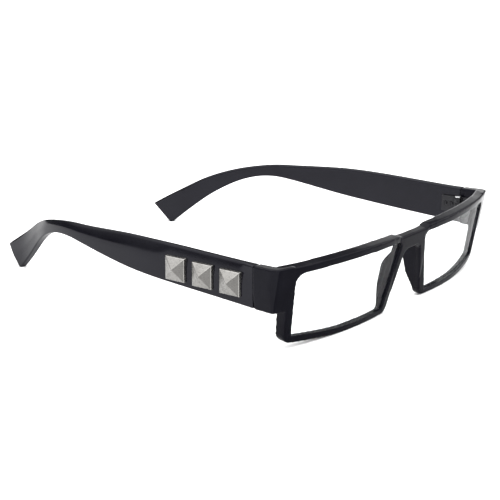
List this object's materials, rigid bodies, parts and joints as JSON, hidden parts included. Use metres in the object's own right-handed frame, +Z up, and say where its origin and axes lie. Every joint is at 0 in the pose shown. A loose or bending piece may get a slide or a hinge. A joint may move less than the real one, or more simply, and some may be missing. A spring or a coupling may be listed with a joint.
{
  "type": "reading glasses",
  "caption": "Full-rim reading glasses with narrow rectangular lenses and wide folding temples that carry square pyramid studs.",
  "frame": {"origin": "centre of the underside of the whole object with the temples open, on the plane it stands on", "axes": "+Z up, the front faces -Y, the temples run to +Y, +X is the wearer's left"},
  "size_m": [0.1414, 0.1474, 0.0281],
  "materials": {
    "frame_plastic": "gloss",
    "lens": "clear",
    "stud_metal": "satin",
    "hinge_metal": "satin"
  },
  "bodies": {
    "front": {"front_frame": "frame_plastic", "lens_right": "lens", "lens_left": "lens", "hinge_front_leaf_right": "hinge_metal", "hinge_front_leaf_left": "hinge_metal", "hinge_screw_right": "hinge_metal", "hinge_screw_left": "hinge_metal", "front_leaf_screws_right": "hinge_metal", "front_leaf_screws_left": "hinge_metal"},
    "temple_right": {"temple_right": "frame_plastic", "stud_right_front": "stud_metal", "stud_right_middle": "stud_metal", "stud_right_rear": "stud_metal", "hinge_temple_leaf_right": "hinge_metal", "temple_leaf_screws_right": "hinge_metal"},
    "temple_left": {"temple_left": "frame_plastic", "stud_left_front": "stud_metal", "stud_left_middle": "stud_metal", "stud_left_rear": "stud_metal", "hinge_temple_leaf_left": "hinge_metal", "temple_leaf_screws_left": "hinge_metal"}
  },
  "joints": [
    {"name": "right_temple_fold", "type": "hinge", "parent": "front", "child": "temple_right", "pos_m": [-0.06318, -0.05624, 0.02045], "axis": [0, 0, -1], "range_deg": [0, 82]},
    {"name": "left_temple_fold", "type": "hinge", "parent": "front", "child": "temple_left", "pos_m": [0.06318, -0.05624, 0.02045], "axis": [0, 0, 1], "range_deg": [0, 75]}
  ]
}
